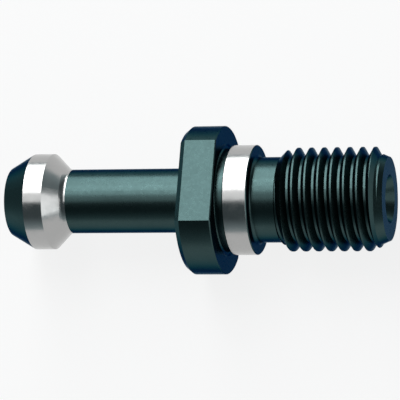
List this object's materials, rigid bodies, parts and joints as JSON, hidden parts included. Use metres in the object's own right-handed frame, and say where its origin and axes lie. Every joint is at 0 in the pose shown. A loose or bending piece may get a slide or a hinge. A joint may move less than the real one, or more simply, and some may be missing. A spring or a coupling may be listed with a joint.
{
  "type": "pull stud",
  "caption": "Pull stud (retention knob) for a taper tool holder: 45 degree gripping head, slim neck, collar with wrench flats, ground pilot and coarse right-hand thread.",
  "frame": {"origin": "on the stud's axis, in the plane of the collar's seat face", "axes": "+X along the axis towards the thread, the gripping head at -X; +Z out of the upper wrench flat, so the stud lies on its lower flat"},
  "size_m": [0.0603, 0.023, 0.019],
  "materials": {
    "steel": "black oxide, with the head's land and gripping cone and the pilot ground bright"
  },
  "bodies": {
    "root": {"pull_stud": "steel"}
  },
  "joints": []
}
